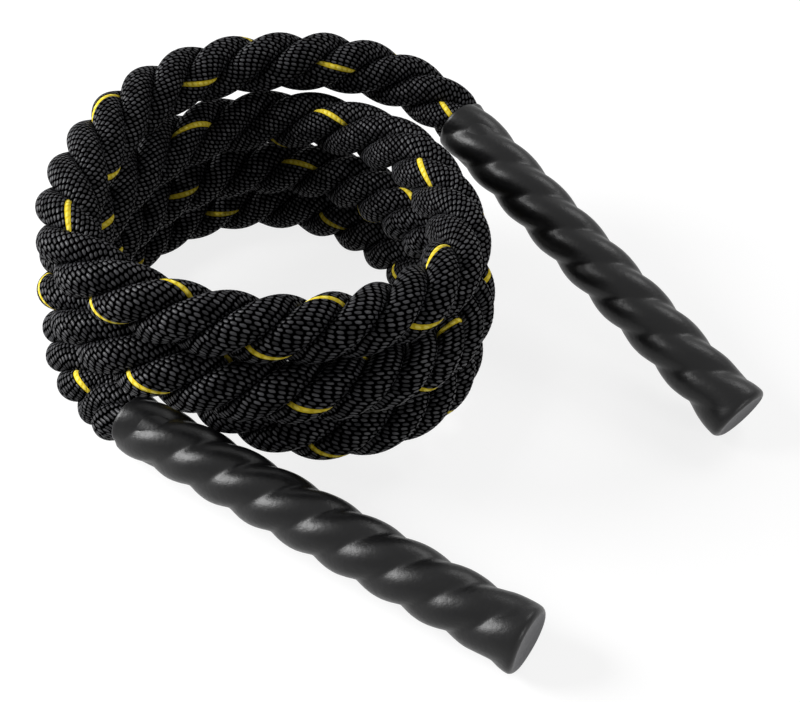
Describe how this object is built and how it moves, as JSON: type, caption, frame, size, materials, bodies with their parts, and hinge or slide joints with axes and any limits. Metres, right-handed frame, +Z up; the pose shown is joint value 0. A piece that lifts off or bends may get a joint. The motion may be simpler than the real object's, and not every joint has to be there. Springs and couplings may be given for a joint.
{
  "type": "heavy jump rope",
  "caption": "Thick laid rope wound in an upright coil, with a stiff closed sleeve over each end as a handle, for skipping exercise.",
  "frame": {"origin": "on the floor, under the middle of the box round the two handles", "axes": "+Z up, +X to the right and +Y away from the viewer as the rope lies in the picture"},
  "size_m": [0.4547, 0.4208, 0.1588],
  "materials": {
    "rope": "black filament polyester with a slight sheen, one yellow tracer yarn",
    "sleeve": "black shrunk sleeve, glossy with fine wrinkles",
    "tape": "cloth tape, hidden inside the sleeve"
  },
  "bodies": {
    "coil": {"rope_coil": "rope", "front_lead": "rope", "rear_lead": "rope"},
    "front_handle": {"front_sleeve": "sleeve", "front_strand_1": "rope", "front_strand_2": "rope", "front_strand_3": "rope", "front_end_tape": "tape"},
    "rear_handle": {"rear_sleeve": "sleeve", "rear_strand_1": "rope", "rear_strand_2": "rope", "rear_strand_3": "rope", "rear_end_tape": "tape"}
  },
  "joints": [
    {"name": "front_handle_swing", "type": "hinge", "parent": "coil", "child": "front_handle", "pos_m": [-0.21183, 0.01608, 0.02739], "axis": [0, 0, -1], "range_deg": [0, 30], "deforming": ["front_lead"]},
    {"name": "rear_handle_lift", "type": "hinge", "parent": "coil", "child": "rear_handle", "pos_m": [-0.06138, 0.18419, 0.11904], "axis": [-0.7604, -0.6494, 0], "range_deg": [0, 40], "deforming": ["rear_lead"]}
  ]
}
